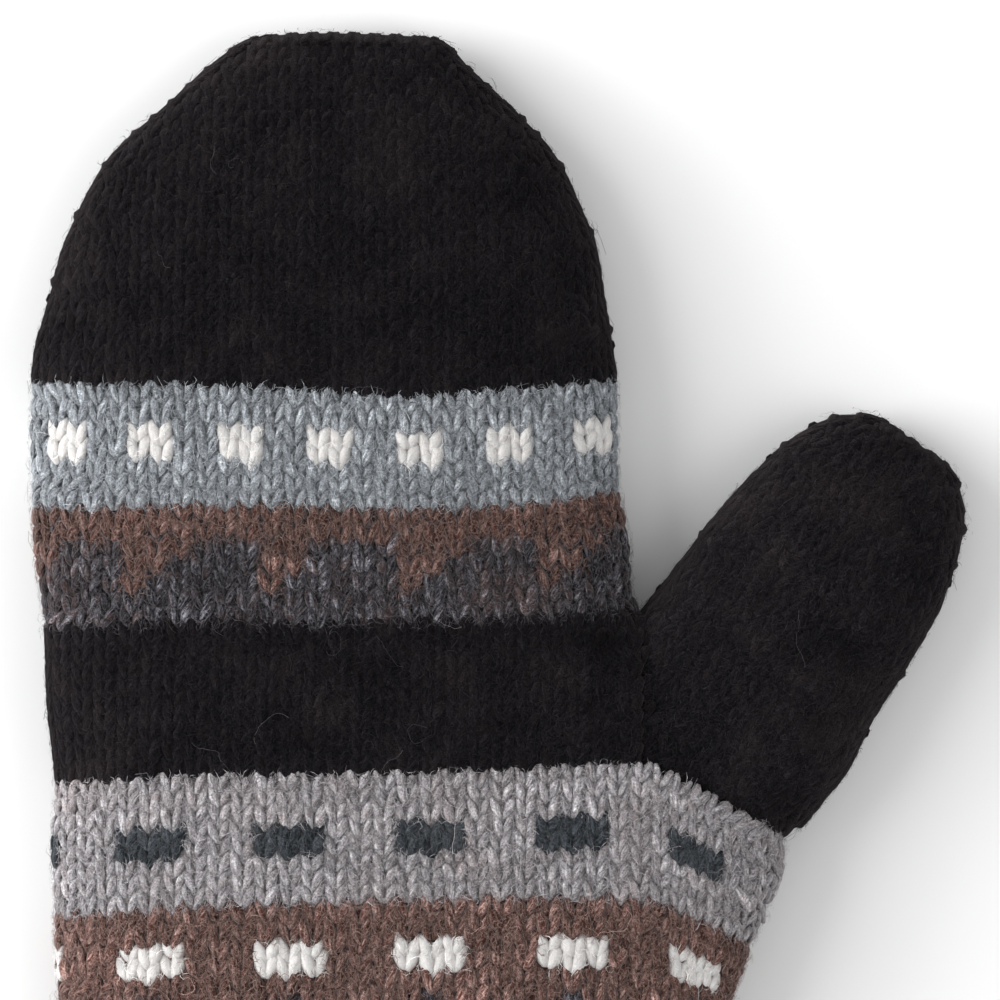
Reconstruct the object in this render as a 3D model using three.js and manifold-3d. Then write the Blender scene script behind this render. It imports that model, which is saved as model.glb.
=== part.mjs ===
// A hand-knitted alpaca mitten, lying on its back on a table with the thumb spread to the right.
// Millimetres, +Z up, fingers towards +Y. It is one hollow tube of knitting, open at the cuff, with
// a thumb tube growing out of its side. Each colour section of the knitting is a piece of its own.
import * as THREE from "three";
import { mergeVertices } from "three/addons/utils/BufferGeometryUtils.js";
import Module from "manifold-3d";

const wasm = await Module();
wasm.setup();

// The knitting
const wall = 3.2; // thickness of the knitted fabric
const roundHeight = 3.03; // height of one round of stitches
const seamGap = 0.3; // clearance left between two colour sections
const ribCount = 14; // knit ribs round the cuff, two stitches wide with two purled between
const ribDepth = 0.9; // how far a rib stands out from the cuff, and its valley goes in

// How round a cross-section is. The sides stand widest at sideHeight of the way up.
const topRoundness = 2.5; // exponent of the upper curve: 2 is an ellipse, more is squarer
const underRoundness = 3; // exponent of the lower curve
const underPress = 1.12; // the lower curve reaches this much too deep, so the table flattens it
const sideHeight = 0.42;

// How finely the curves are cut
const outerPoints = 48;
const innerPoints = 32;
const thumbOuterPoints = 32;
const thumbInnerPoints = 24;
const pointsPerRib = 6;
const curveSteps = 120; // steps on each half of a section before it is divided evenly
const sectionStep = 11; // distance between two sections of the hand
const thumbStep = 8;
const cuffStep = 30;

// The hand from the cuff's mouth to the tip. y runs along the mitten, left and right are the edges
// seen from above, from the hand's middle line. From y 126 to 156 right is hidden inside the thumb.
const handSections = [
  { y: 0, left: -43.9, right: 54.7, bottom: 0, top: 17 },
  { y: 8.6, left: -42.8, right: 53.6, bottom: 0, top: 17.5 },
  { y: 53.6, left: -42.8, right: 53.6, bottom: 0, top: 18.5 },
  { y: 62.6, left: -44.6, right: 56.9, bottom: 0, top: 19.5 },
  { y: 71.6, left: -47.2, right: 62.3, bottom: 0, top: 21 },
  { y: 80.6, left: -48.6, right: 67.9, bottom: 0, top: 22.5 },
  { y: 89.6, left: -49.1, right: 72.4, bottom: 0, top: 24 },
  { y: 99.5, left: -49.7, right: 76.1, bottom: 0, top: 25 },
  { y: 108.5, left: -49.9, right: 79.9, bottom: 0, top: 25.5 },
  { y: 115, left: -50.2, right: 81.9, bottom: 0, top: 25.5 },
  { y: 120.5, left: -50.1, right: 81.3, bottom: 0, top: 25.5 },
  { y: 130, left: -49.7, right: 75.2, bottom: 0, top: 25.5 },
  { y: 143.6, left: -51.1, right: 66.6, bottom: 0, top: 25.5 },
  { y: 152.6, left: -51.3, right: 60.8, bottom: 0, top: 25 },
  { y: 159.5, left: -51.8, right: 56, bottom: 0, top: 25 },
  { y: 164.3, left: -52.6, right: 54.4, bottom: 0, top: 25 },
  { y: 172.4, left: -53.5, right: 54.2, bottom: 0, top: 25 },
  { y: 181.8, left: -54, right: 52.2, bottom: 0, top: 25 },
  { y: 199.1, left: -54, right: 52, bottom: 0, top: 24 },
  { y: 207.5, left: -53.1, right: 50.9, bottom: 0, top: 23.5 },
  { y: 216.4, left: -50.6, right: 49.5, bottom: 0, top: 22.5 },
  { y: 225, left: -48.2, right: 48.1, bottom: 0, top: 21.5 },
  { y: 233.6, left: -44.5, right: 44.8, bottom: 0, top: 20.5 },
  { y: 242.3, left: -38.9, right: 40.1, bottom: 0, top: 19 },
  { y: 250.9, left: -29.2, right: 32, bottom: 0.3, top: 16.5 },
  { y: 255.2, left: -24.7, right: 27.4, bottom: 0.9, top: 15 },
  { y: 259.6, left: -19.6, right: 23, bottom: 2, top: 13 },
  { y: 262.4, left: -15.7, right: 20.9, bottom: 3.5, top: 11 },
  { y: 264.1, left: -13, right: 17.5, bottom: 5.5, top: 8.5 },
];

// The thumb along its own axis, which starts inside the palm and leans out from the hand.
const thumbRoot = new THREE.Vector3(63.5, 130.3, 0);
const thumbLean = THREE.MathUtils.degToRad(35);
const thumbSections = [
  { y: -9, left: -15.3, right: 17.1, bottom: 4, top: 15 },
  { y: 0, left: -23.9, right: 21.4, bottom: 0.6, top: 19.5 },
  { y: 3.6, left: -24.3, right: 23.4, bottom: 0.2, top: 20.4 },
  { y: 7.2, left: -24.7, right: 23.6, bottom: 0, top: 21 },
  { y: 18, left: -23.4, right: 24.1, bottom: 0, top: 21.5 },
  { y: 27, left: -22.7, right: 22.7, bottom: 0, top: 21.5 },
  { y: 36, left: -22.3, right: 22.3, bottom: 0, top: 21 },
  { y: 46.8, left: -21.6, right: 21.6, bottom: 0, top: 20 },
  { y: 54, left: -20.3, right: 20.3, bottom: 0, top: 18.5 },
  { y: 61.2, left: -18.5, right: 18, bottom: 0.4, top: 16.5 },
  { y: 66.6, left: -15.8, right: 15.5, bottom: 1.2, top: 14.5 },
  { y: 70.2, left: -12.8, right: 12.4, bottom: 2.4, top: 12.5 },
  { y: 72.7, left: -8.5, right: 8.5, bottom: 4, top: 10.5 },
  { y: 73.8, left: -4.5, right: 4.5, bottom: 5.5, top: 8.5 },
];

// The yarns
const black = { color: 0x1f1d1f, roughness: 0.95, metalness: 0 };
const brown = { color: 0x5c4945, roughness: 0.95, metalness: 0 };
const lightGrey = { color: 0x878387, roughness: 0.95, metalness: 0 };
const darkHeather = { color: 0x4a4344, roughness: 0.95, metalness: 0 };
const blueGrey = { color: 0x7b7d81, roughness: 0.95, metalness: 0 };

// The colour sections from the cuff up, each so many rounds high, with its main yarn. The upper ones
// end at the thumb's seam, beside the thumb.
const cuff = { name: "cuff", rounds: 22, yarn: black };
const colourSections = [
  { name: "wrist_band", rounds: 4, yarn: darkHeather, besideThumb: false },
  { name: "brown_fleck_band", rounds: 9, yarn: brown, besideThumb: false },
  { name: "light_grey_band", rounds: 8, yarn: lightGrey, besideThumb: false },
  { name: "palm_band", rounds: 9, yarn: black, besideThumb: true },
  { name: "zigzag_band", rounds: 7, yarn: darkHeather, besideThumb: true },
  { name: "blue_grey_band", rounds: 7, yarn: blueGrey, besideThumb: true },
  { name: "fingertip", rounds: 21, yarn: black, besideThumb: true },
];

// Towards the thumb the rounds droop, the more the nearer they are to it.
const droopStartX = 54;
const droopWidth = 30.6;
const droopPower = 1.6;
const droopMost = 12.2;
const droopFromY = 67;
const droopToY = 130;
const droopSteps = 6;
const thumbSeamX = 55.8; // where the thumb's stitches part from the palm's, down from the crotch

// Cutting blocks and hollows run past what they cut.
const farOut = 400;
const overrun = 3;

// A section's size at y, on a smooth curve through the table's rows. Past its ends nothing changes.
function sectionAt(table, y) {
  const last = table.length - 1;
  let i = 0;
  while (i + 2 <= last && table[i + 1].y <= y) i++;
  const [a, b] = [table[i], table[i + 1]];
  const [before, after] = [table[Math.max(i - 1, 0)], table[Math.min(i + 2, last)]];
  const span = b.y - a.y;
  const t = THREE.MathUtils.clamp((y - a.y) / span, 0, 1);
  const size = { y };
  for (const side of ["left", "right", "bottom", "top"]) {
    const slopeA = ((b[side] - before[side]) / (b.y - before.y)) * span;
    const slopeB = ((after[side] - a[side]) / (after.y - a.y)) * span;
    size[side] =
      a[side] * (1 + 2 * t) * (1 - t) ** 2 +
      slopeA * t * (1 - t) ** 2 +
      b[side] * t * t * (3 - 2 * t) +
      slopeB * t * t * (t - 1);
  }
  return size;
}

// The same section taken in by the fabric's thickness.
function inside(size) {
  return {
    y: size.y,
    left: size.left + wall,
    right: size.right - wall,
    bottom: size.bottom + wall,
    top: size.top - wall,
  };
}

// A closed cross-section, from the left edge over the top to the right edge and back underneath,
// divided evenly. relief(share) moves a point out by that much, share of the way round.
function sectionLoop(size, count, relief = () => 0) {
  const middle = (size.left + size.right) / 2;
  const halfWidth = (size.right - size.left) / 2;
  const side = size.bottom + sideHeight * (size.top - size.bottom);
  const dense = [];
  for (let i = 0; i < 2 * curveSteps; i++) {
    const over = i < curveSteps;
    const angle = (Math.PI * i) / curveSteps;
    const power = 2 / (over ? topRoundness : underRoundness);
    const across = -Math.sign(Math.cos(angle)) * Math.abs(Math.cos(angle)) ** power;
    const up = Math.abs(Math.sin(angle)) ** power;
    const z = over
      ? side + (size.top - side) * up
      : Math.max(size.bottom, side - underPress * (side - size.bottom) * up);
    dense.push(new THREE.Vector2(middle + halfWidth * across, z));
  }
  dense.push(dense[0].clone());
  const along = [0];
  for (let i = 1; i < dense.length; i++)
    along.push(along[i - 1] + dense[i].distanceTo(dense[i - 1]));
  const loop = [];
  let k = 1;
  for (let i = 0; i < count; i++) {
    const target = (along[dense.length - 1] * i) / count;
    while (along[k] < target) k++;
    const t = (target - along[k - 1]) / (along[k] - along[k - 1]);
    const point = dense[k - 1].clone().lerp(dense[k], t);
    const tangent = dense[k].clone().sub(dense[k - 1]).normalize();
    const outward = new THREE.Vector2(-tangent.y, tangent.x);
    loop.push(point.addScaledVector(outward, relief(i / count)));
  }
  for (const point of loop) point.y = Math.max(point.y, size.bottom);
  return loop;
}

// A closed skin through loops of equal count, each at its own y, with a flat cap at both ends.
function loft(loops) {
  const count = loops[0].points.length;
  const vertices = loops.flatMap(({ y, points }) => points.flatMap((p) => [p.x, y, p.y]));
  const faces = [];
  for (let ring = 0; ring + 1 < loops.length; ring++)
    for (let i = 0; i < count; i++) {
      const j = (i + 1) % count;
      const [a, b] = [ring * count + i, ring * count + j];
      faces.push(a, b, a + count, b, b + count, a + count);
    }
  for (const ring of [0, loops.length - 1]) {
    const centre = vertices.length / 3;
    const middle = new THREE.Vector2();
    for (const p of loops[ring].points) middle.addScaledVector(p, 1 / count);
    vertices.push(middle.x, loops[ring].y, middle.y);
    for (let i = 0; i < count; i++) {
      const [a, b] = [ring * count + i, ring * count + ((i + 1) % count)];
      faces.push(...(ring === 0 ? [b, a, centre] : [a, b, centre]));
    }
  }
  const geometry = new THREE.BufferGeometry();
  geometry.setAttribute("position", new THREE.Float32BufferAttribute(vertices, 3));
  geometry.setIndex(faces);
  return geometry;
}

// Heights along the mitten at which its sections are taken: the table's rows and steps between.
function stations(table, from, to, step) {
  const found = [from];
  for (const row of table) {
    if (row.y <= from || row.y >= to) continue;
    const last = found[found.length - 1];
    const parts = Math.max(1, Math.round((row.y - last) / step));
    for (let i = 1; i <= parts; i++) found.push(last + ((row.y - last) * i) / parts);
  }
  return [...found, to];
}

// The solid between two heights of a table, outside or, with inner set, the hollow in it.
function tube(table, from, to, step, points, inner = false) {
  const loops = stations(table, from, to, step).map((y) => {
    const size = sectionAt(table, y);
    return { y, points: sectionLoop(inner ? inside(size) : size, points) };
  });
  return solid(loft(loops));
}

function solid(geometry) {
  const bare = geometry.index ? geometry.toNonIndexed() : geometry.clone();
  const merged = mergeVertices(
    new THREE.BufferGeometry().setAttribute("position", bare.getAttribute("position")),
    1e-3,
  );
  return new wasm.Manifold(
    new wasm.Mesh({
      numProp: 3,
      vertProperties: merged.attributes.position.array,
      triVerts: new Uint32Array(merged.index.array),
    }),
  );
}

function piece(name, yarn, body) {
  const made = body.getMesh();
  const geometry = new THREE.BufferGeometry();
  geometry.setAttribute("position", new THREE.BufferAttribute(made.vertProperties, 3));
  geometry.setIndex(new THREE.BufferAttribute(made.triVerts, 1));
  geometry.computeVertexNormals();
  const mesh = new THREE.Mesh(geometry, new THREE.MeshStandardMaterial(yarn));
  mesh.name = name;
  return mesh;
}

// The y of a round at x, for the round that is at height y along most of the hand.
function roundAt(y, x) {
  const share = THREE.MathUtils.clamp((y - droopFromY) / (droopToY - droopFromY), 0, 1);
  const out = THREE.MathUtils.clamp((x - droopStartX) / droopWidth, 0, 1.1);
  return y - droopMost * share * out ** droopPower;
}

// A block standing on the table, over everything between two rounds and two values of x.
function blockBetween(lowY, highY, lowX, highX) {
  const steps = [lowX];
  for (let i = 0; i <= droopSteps; i++) {
    const x = droopStartX + (1.1 * droopWidth * i) / droopSteps;
    if (x > lowX + 1 && x < highX - 1) steps.push(x);
  }
  steps.push(highX);
  const lower = steps.map((x) => new THREE.Vector2(x, roundAt(lowY, x) + seamGap / 2));
  const upper = steps.map((x) => new THREE.Vector2(x, roundAt(highY, x) - seamGap / 2));
  const outline = new THREE.Shape([...lower, ...upper.reverse()]);
  const block = new THREE.ExtrudeGeometry(outline, { depth: 2 * farOut, bevelEnabled: false });
  return solid(block.translate(0, 0, -farOut));
}

// The thumb is made upright along +Y and then leans out about its root.
function placeThumb(body) {
  const matrix = new THREE.Matrix4()
    .makeTranslation(thumbRoot)
    .multiply(new THREE.Matrix4().makeRotationZ(-thumbLean));
  return body.transform(matrix.elements);
}

// The ribbed cuff, open at both ends
function cuffBody(height) {
  const rib = (share) => ribDepth * Math.cos(2 * Math.PI * ribCount * share);
  const rows = stations(handSections, 0, height - seamGap / 2, cuffStep).map((y) => ({
    y,
    points: sectionLoop(sectionAt(handSections, y), ribCount * pointsPerRib, rib),
  }));
  const hollow = tube(handSections, -overrun, height + overrun, cuffStep, innerPoints, true);
  return solid(loft(rows)).subtract(hollow);
}

// The rest of the mitten: hand and thumb are one hollow shape, closed at both tips.
function knittedBody(fromY) {
  const tipY = handSections[handSections.length - 1].y;
  const thumbTipY = thumbSections[thumbSections.length - 1].y;
  const thumbFromY = thumbSections[0].y;
  const hand = (low, high, points, inner) =>
    tube(handSections, low, high, sectionStep, points, inner);
  const thumb = (high, points, inner) =>
    placeThumb(tube(thumbSections, thumbFromY, high, thumbStep, points, inner));
  const skin = hand(fromY - overrun, tipY, outerPoints, false).add(
    thumb(thumbTipY, thumbOuterPoints, false),
  );
  const hollow = hand(fromY - 2 * overrun, tipY - wall, innerPoints, true).add(
    thumb(thumbTipY - wall, thumbInnerPoints, true),
  );
  return skin.subtract(hollow);
}

const mitten = new THREE.Group();
const cuffHeight = cuff.rounds * roundHeight;
mitten.add(piece(cuff.name, cuff.yarn, cuffBody(cuffHeight)));

const knitted = knittedBody(cuffHeight);
const seamLeft = thumbSeamX - seamGap / 2;
const seamRight = thumbSeamX + seamGap / 2;
let lowY = cuffHeight;
for (const { name, rounds, yarn, besideThumb } of colourSections) {
  const highY = name === "fingertip" ? farOut : lowY + rounds * roundHeight;
  const block = blockBetween(lowY, highY, -farOut, besideThumb ? seamLeft : farOut);
  mitten.add(piece(name, yarn, knitted.intersect(block)));
  if (name === "light_grey_band") {
    const thumbBlock = blockBetween(highY, farOut, seamRight, farOut);
    mitten.add(piece("thumb", black, knitted.intersect(thumbBlock)));
  }
  lowY = highY;
}

// The origin is under the middle of the whole mitten, on the table.
const box = new THREE.Box3().setFromObject(mitten);
mitten.position.set(-(box.min.x + box.max.x) / 2, -(box.min.y + box.max.y) / 2, -box.min.z);

export default mitten;
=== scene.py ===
# A hand-knitted alpaca mitten lying flat on a pale floor, knitted stitch by stitch around the frame.
import bpy
import math
import numpy as np
from functools import partial
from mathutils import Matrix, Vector


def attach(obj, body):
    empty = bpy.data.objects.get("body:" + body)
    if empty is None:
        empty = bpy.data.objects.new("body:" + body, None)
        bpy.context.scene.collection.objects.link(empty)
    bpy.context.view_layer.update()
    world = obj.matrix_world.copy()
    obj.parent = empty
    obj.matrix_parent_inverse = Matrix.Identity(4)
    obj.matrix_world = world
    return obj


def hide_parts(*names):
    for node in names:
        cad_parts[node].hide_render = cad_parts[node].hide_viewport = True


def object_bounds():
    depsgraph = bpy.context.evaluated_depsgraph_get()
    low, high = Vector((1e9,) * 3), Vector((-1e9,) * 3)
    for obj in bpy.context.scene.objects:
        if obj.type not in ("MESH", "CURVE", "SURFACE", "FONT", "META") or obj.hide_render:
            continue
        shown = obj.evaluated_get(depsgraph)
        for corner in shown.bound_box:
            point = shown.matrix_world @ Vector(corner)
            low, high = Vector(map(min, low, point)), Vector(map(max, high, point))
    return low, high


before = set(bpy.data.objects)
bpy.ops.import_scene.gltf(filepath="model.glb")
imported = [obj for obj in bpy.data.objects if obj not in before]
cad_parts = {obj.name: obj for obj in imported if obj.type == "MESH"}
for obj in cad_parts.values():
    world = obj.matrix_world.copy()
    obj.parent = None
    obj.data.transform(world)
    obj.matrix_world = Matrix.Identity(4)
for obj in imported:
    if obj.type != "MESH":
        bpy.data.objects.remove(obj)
cad_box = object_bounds()
rng = np.random.default_rng(41)

# The knitting, in millimetres. y runs from the cuff's mouth to the tip and x across, as in the
# frame's own sections; only the finished pieces are turned into metres.
MM = 0.001
COURSE = 3.03  # height of one round of stitches
WALL = 3.2
SINK = 0.95  # how far below the frame's surface the middle of the yarn lies
MIDDLE_X = 30.25  # the frame's origin, in the sections' own x
MOUTH_Y = cad_box[0][1] / MM  # the cuff's mouth, in the frame's y

# The mitten's cross-sections, as the frame has them: (y, left, right, bottom, top)
HAND = (
    (0, -43.9, 54.7, 0, 17),
    (8.6, -42.8, 53.6, 0, 17.5),
    (53.6, -42.8, 53.6, 0, 18.5),
    (62.6, -44.6, 56.9, 0, 19.5),
    (71.6, -47.2, 62.3, 0, 21),
    (80.6, -48.6, 67.9, 0, 22.5),
    (89.6, -49.1, 72.4, 0, 24),
    (99.5, -49.7, 76.1, 0, 25),
    (108.5, -49.9, 79.9, 0, 25.5),
    (115, -50.2, 81.9, 0, 25.5),
    (120.5, -50.1, 81.3, 0, 25.5),
    (130, -49.7, 75.2, 0, 25.5),
    (143.6, -51.1, 66.6, 0, 25.5),
    (152.6, -51.3, 60.8, 0, 25),
    (159.5, -51.8, 56, 0, 25),
    (164.3, -52.6, 54.4, 0, 25),
    (172.4, -53.5, 54.2, 0, 25),
    (181.8, -54, 52.2, 0, 25),
    (199.1, -54, 52, 0, 24),
    (207.5, -53.1, 50.9, 0, 23.5),
    (216.4, -50.6, 49.5, 0, 22.5),
    (225, -48.2, 48.1, 0, 21.5),
    (233.6, -44.5, 44.8, 0, 20.5),
    (242.3, -38.9, 40.1, 0, 19),
    (250.9, -29.2, 32, 0.3, 16.5),
    (255.2, -24.7, 27.4, 0.9, 15),
    (259.6, -19.6, 23, 2, 13),
    (262.4, -15.7, 20.9, 3.5, 11),
    (264.1, -13, 17.5, 5.5, 8.5),
)
THUMB = (
    (-9, -15.3, 17.1, 4, 15),
    (0, -23.9, 21.4, 0.6, 19.5),
    (3.6, -24.3, 23.4, 0.2, 20.4),
    (7.2, -24.7, 23.6, 0, 21),
    (18, -23.4, 24.1, 0, 21.5),
    (27, -22.7, 22.7, 0, 21.5),
    (36, -22.3, 22.3, 0, 21),
    (46.8, -21.6, 21.6, 0, 20),
    (54, -20.3, 20.3, 0, 18.5),
    (61.2, -18.5, 18, 0.4, 16.5),
    (66.6, -15.8, 15.5, 1.2, 14.5),
    (70.2, -12.8, 12.4, 2.4, 12.5),
    (72.7, -8.5, 8.5, 4, 10.5),
    (73.8, -4.5, 4.5, 5.5, 8.5),
)
TOP_ROUNDNESS = 2.5
UNDER_ROUNDNESS = 3
UNDER_PRESS = 1.12  # how far the underside would bulge, if the floor let it
SIDE_HEIGHT = 0.42  # where the sides stand out most, as a share of the height
STEEP = 99  # how far the surface falls away beyond a side
THINNEST = 0.2  # from the upper to the lower side
PLACES_ACROSS = 260  # at which a round is worked out
CROWDED = 0.7  # less than 1 lays them closer together at the sides
FITTINGS = 8  # times that a round's ends are fitted to the outline

THUMB_ROOT = (63.5, 130.3)
THUMB_LEAN = math.radians(35)
THUMB_ROUNDS = 24
THUMB_CLOSING = 0.4  # how far past the thumb's end its last round would lie
STRAIGHTENED = 7  # rounds over which the thumb's rounds turn square to it
BORDER_MIDDLE = 8  # where across the thumb its rounds are counted from the border
SEAM_X = 55.8  # where the thumb's stitches part from the palm's
SEAM_OVERLAP = 1.5  # how far the thumb's reach over the palm's there
SEAM_FADE = 2.5  # how far from the seam they start to dive under
SEAM_DIVE = 0.7  # how deep they dive
CROTCH_Y = 159
PALM_FADE_X = 66  # beyond this the palm soon no longer shapes the thumb
BLEND = 1.2  # how softly the palm's surface runs into the thumb's
CLOSING_RISE = 0.4  # how far the closing edge stands out of the frame's

# Towards the thumb the rounds droop.
DROOP_START_X = 54
DROOP_WIDTH = 30.6
DROOP_POWER = 1.6
DROOP_MOST = 12.2
DROOP_FROM_Y = 67
DROOP_TO_Y = 130

# How far the rounds lie above their plain height, as the fabric has settled: at each x, one
# value for each of these rounds' heights.
SETTLED_HEIGHTS = (60, 106, 130, 158, 179, 189, 200, 240, 262)
SETTLED = (
    (-55, 0, -1.7, -2.2, -1.6, -1.2, -1.3, 0.5, -0.4, -2),
    (-45, 0, -1.3, -1.7, -1.6, -1.3, -1.5, 0.2, -0.4, -2),
    (-25, 0, 0.3, -0.1, -0.5, -0.7, -1.4, -0.1, -0.5, -1.8),
    (-5, 0, 1.1, 0.1, -0.9, -0.7, -2.1, -0.9, -0.8, 0),
    (15, 0, 1.8, 0.6, -0.4, -1.2, -2.7, -2.2, -1.1, -0.5),
    (35, 0, 2.2, 1.2, 0.3, -0.5, -1.5, -0.6, -0.6, -2.2),
    (52, 0, 1.6, 2.3, 0.6, 1.7, 0.1, 0.8, -0.3, -2.2),
    (60, 0, 1.2, 1.1, 0.6, 1.6, 0.2, 0.5, 0, -2.2),
    (72, 0, -2, -1, 0, 0, 0, 0, 0, 0),
    (86, 0, -2, -0.5, 0, 0, 0, 0, 0, 0),
)

# How wide a stitch is, and where the middle of the knitting's pattern runs
STITCH_WIDTH = ((0, 3.8), (60, 3.9), (85, 4.2), (150, 4.2), (190, 4.02), (230, 4.0), (264, 3.7))
PATTERN_X = ((0, -0.6), (131, -0.6), (158, 0.2), (264, 0.5))
THUMB_STITCH_WIDTH = 4.15
NARROWED = 0.86  # of a stitch, over the ball of the thumb
NARROWED_FROM_X = 50
NARROWED_BY_X = 58
NARROWED_BELOW_Y = 131
EASED = 5  # stitches at each side that take up what is left of a stitch

# The colour sections from the cuff up: (piece, rounds, main yarn)
BANDS = (
    ("cuff", 22, "black"),
    ("wrist_band", 4, "heather"),
    ("brown_fleck_band", 9, "brown"),
    ("light_grey_band", 8, "light_grey"),
    ("palm_band", 9, "black"),
    ("zigzag_band", 7, "heather"),
    ("blue_grey_band", 7, "blue_grey"),
    ("fingertip", 21, "black"),
)

# The knitting charts, top round first. Each letter is one stitch, and a row repeats across.
LETTERS = {
    "w": "white",
    "b": "blue_grey",
    "n": "brown",
    "h": "heather",
    "l": "light_grey",
    "c": "charcoal",
}
CHARTS = {
    "blue_grey_band": ("bbbb", "bbbb", "wbbw", "wbbw", "bbbb", "bbbb", "bbbb"),
    "zigzag_band": ("nnnnnn", "nnnnnn", "hhhnnn", "hhhnnh", "hhhnhh", "hhhhhh", "hhhhhh"),
    "light_grey_band": ("llllll",) * 3 + ("lllccc",) * 2 + ("llllll",) * 3,
    "brown_fleck_band": (
        "nnnnnn",
        "nnnnnn",
        "nnnwww",
        "nnnwww",
        "nnnnnn",
        "nnnnhn",
        "nnnhhh",
        "hnhhhh",
        "hhhhhh",
    ),
}

# The last stitch of a piece's chart, counted from the middle, that has a fleck's yarn
LAST_FLECK = {"light_grey_band": 17}

# Yarns that now and then stray over their border in the chart, and how often
SWAPPED = {"zigzag_band": {"brown": "heather", "heather": "brown"}}
SWAP_SHARE = 0.06

# Each fleck has one stitch that hangs lower than its neighbours: its place in the chart's row
HANGING = {"blue_grey_band": 0, "brown_fleck_band": 4, "light_grey_band": 4}
HANG = 0.26  # how much lower, in rounds
POKE = 0.28  # how much lower the points over a fleck reach into it, in rounds
POKE_LIFT = 0.2  # and how much higher they lie, in mm

# A stitch's two legs. Across is in stitches and up in rounds.
FOOT = 0.06  # how far from the stitch's middle a leg starts
SPLAY = 0.35  # how much further out it ends
LOW = -0.36  # where it starts
REACH = 0.94  # where it ends
TUCKED_REACH = 0.68  # at the top of a fleck, where the legs lie half under their neighbours
LEG_HEIGHT = 0.16  # how high its middle lies over the round's own line, in mm
FELTED_LIFT = -0.05  # in the felted black the legs lie a little lower
WOBBLE = (0.02, 0.045, 0.07, 0.06, 0.03)  # how far legs stray across, up, outward, in thickness and in splay
BLUNT = 0.6  # how far a yarn's end stands out, in its own radii
TWIST = 0.35  # of the fibres round the yarn, in radians to a mm

# How finely the legs are made: (rings, sides)
FINE = (5, 6)
FELTED = (4, 6)
COARSE = (4, 4)

# How each yarn knits up: the legs' thickness in mm and how flat they lie, how deep their ends dip
# and how much thinner they are there, and how much painted shade darkens them towards their sides
# and ends; how much the yarn's tone drifts from stitch to stitch and differs from leg to leg, how
# unruly the legs are; its fine hairs to a stitch and how many stitches they spread over, and its stray
# hairs.
HABIT = ("thick", "flat", "dip", "taper", "shade", "drift", "uneven", "unruly", "fuzz", "spread", "strays")
YARN_HABITS = {
    "black": (1.25, 0.67, 0.06, 0.12, 0.12, 0.05, 0.07, 0.4, 26, 1.8, 0.8),
    "blue_grey": (0.92, 0.76, 0.72, 0.42, 0.5, 0.09, 0.11, 1.6, 30, 1.15, 1.0),
    "white": (1.18, 0.6, 0.4, 0.42, 0.14, 0.02, 0.02, 1.3, 14, 1.05, 0.3),
    "brown": (1.0, 0.74, 0.6, 0.42, 0.52, 0.14, 0.2, 1.9, 44, 1.25, 1.2),
    "heather": (0.96, 0.74, 0.65, 0.42, 0.45, 0.25, 0.3, 1.8, 30, 1.4, 1.2),
    "light_grey": (0.92, 0.76, 0.72, 0.42, 0.5, 0.09, 0.11, 1.5, 30, 1.15, 1.0),
    "charcoal": (1.14, 0.68, 0.35, 0.3, 0.15, 0.1, 0.12, 1.2, 34, 1.3, 1.4),
}
HABITS = {yarn: dict(zip(HABIT, habit)) for yarn, habit in YARN_HABITS.items()}

# The ribs: stitches to a repeat and how many of them are knitted, and how high in mm the knitted
# and the purled ones lie on each side of the fabric
RIB_REPEAT = 4
RIB_KNITTED = 2
RIB_ROUNDS_INSIDE = 7  # that show inside the mouth
RIB_OUTSIDE = (0.25, -1.1)
RIB_INSIDE = (-0.1, -0.3)
RIB_BUMP = 0.58  # of a stitch, from a purl bump's middle to its end
RIB_DRIFT = 0.1
RIB_HAIRS = 0.4  # of a plain round's
RIB_HABIT = dict(HABITS["black"], thick=1.1, dip=0.9, taper=0.5)

# How much paler the wool of some pieces is than the same yarn elsewhere
PALER = {"thumb": 1.2, "palm_band": 1.06, "brown_fleck_band": 1.02, "zigzag_band": 0.85}

# Hairs: sizes and heights in mm, and how far they bend, in radians. Pairs are a least and a most,
# and longer rows have one value for each step along a hair.
HAIRS_UNDERNEATH = 0.15  # of those on the upper side
FUZZ_LENGTHS = (1.2, 3.0)
FUZZ_WIDTHS = (0.04, 0.11)
FUZZ_TAPER = (0.25, 1, 0.8, 0.1)
FUZZ_HEIGHT = 0.95
FUZZ_RISE = (-0.25, 0.08, 0.12, -0.1)
FUZZ_BEND = 1.6
STRAY_LENGTH = 2.8
STRAY_LENGTHS = (1, 10)
STRAY_HEIGHT = 0.75
STRAY_RISE = (0, 0.5, 0.9, 0.6)
STRAY_STEEPNESS = (0.05, 0.35)
STRAY_RISES_UP_TO = 4  # a longer one stands up no further
STRAY_RADII = (0.03, 0.032, 0.026)
STRAY_BEND = 1.4
LONG_HAIRS = 0.025  # to a stitch
LONG_HAIR_LENGTHS = (4, 12)
LONG_HAIR_WIDTH = 0.045
LONG_HAIR_HEIGHT = 1.1
LONG_HAIR_BEND = 2.5
LONG_HAIR_STEPS = 16
LONG_HAIR_PALER = {"black": 4.2, "heather": 3.0, "brown": 2.2}
OTHER_LONG_HAIR_PALER = 1.2

# How deep the fabric behind the stitches lies, in mm under the frame's surface
DEPTH = 1.15
FELTED_DEPTH = 0.22
RIB_DEPTH = 2.1
CLOSED_DEPTH = 0.65  # at a closed tip
WALL_POINTS = 48  # from side to side
WALL_GAP = 0.15  # from the border of its piece
WALL_DIP = 0.6  # rounds from the border over which it dips, at its lower end
WALL_DIP_ABOVE = 0.4  # and at its upper end
# The backing wall's tone is painted shade: darker than the stitches, for the gaps between the legs.
WALL_PAINTED_SHADE = 0.85

FIBRE_SPAN = 50  # Each yarn has its own place in the fibres' noise, as far out as this.
HAIRS_TO_A_CELL = 4  # in each direction of a cell of the map
CELL_MARGIN = 0.06  # of a cell


# Shapes of the mitten


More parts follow.
